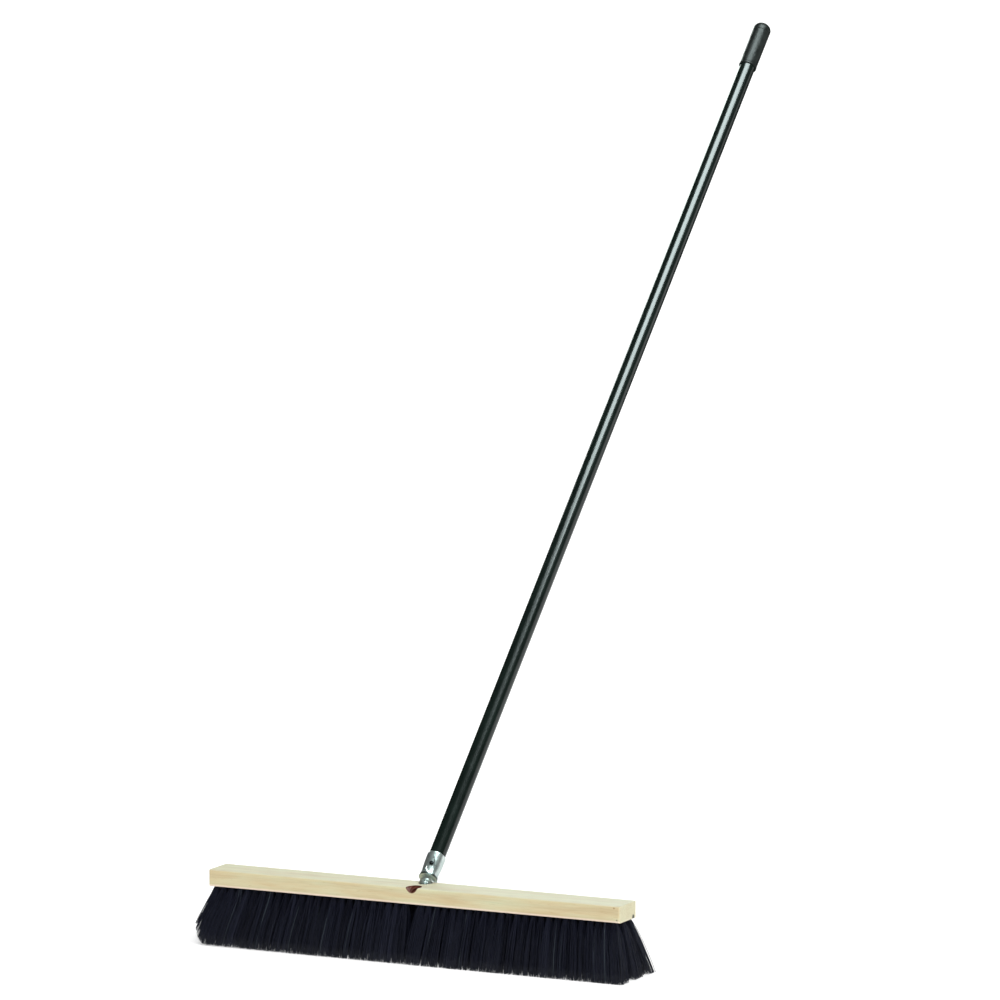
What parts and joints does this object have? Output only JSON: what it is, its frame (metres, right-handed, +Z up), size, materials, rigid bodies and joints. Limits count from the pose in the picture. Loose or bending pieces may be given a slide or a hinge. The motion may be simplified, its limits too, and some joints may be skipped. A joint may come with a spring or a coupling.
{
  "type": "push broom",
  "caption": "Push broom: flat wooden block with rows of fanned black bristles and a long coated steel handle screwed into one of two sloping sockets.",
  "frame": {"origin": "on the floor, at the middle of the bristle tips, under the centre of the block", "axes": "+X along the block, +Y the way the handle leans, +Z up"},
  "size_m": [0.6426, 1.1432, 1.1712],
  "materials": {
    "wood": "satin",
    "bristle": "matte",
    "staple_wire": "satin",
    "coated_tube": "gloss",
    "zinc": "satin",
    "rivet_steel": "satin",
    "cap_plastic": "satin"
  },
  "bodies": {
    "head": {"block": "wood", "tufts_row_1": "bristle", "tufts_row_2": "bristle", "tufts_row_3": "bristle", "tufts_row_4": "bristle", "tufts_row_5": "bristle", "staples_row_1": "staple_wire", "staples_row_2": "staple_wire", "staples_row_3": "staple_wire", "staples_row_4": "staple_wire", "staples_row_5": "staple_wire"},
    "cap": {"end_cap": "cap_plastic"},
    "handle": {"handle_tube": "coated_tube", "threaded_tip": "zinc", "tip_rivet": "rivet_steel"}
  },
  "joints": [
    {"name": "handle_advance", "type": "slide", "parent": "head", "child": "cap", "axis": [0, 0.7071, 0.7071], "range_m": [0, 0.02032]},
    {"name": "handle_twist", "type": "hinge", "parent": "cap", "child": "handle", "pos_m": [0, 0.0185, 0.0984], "axis": [0, 0.7071, 0.7071], "range_deg": [0, 1440.5]}
  ],
  "couplings": [
    {"joint": "handle_twist", "follows": "handle_advance", "rad_per_m": 1236.8}
  ]
}
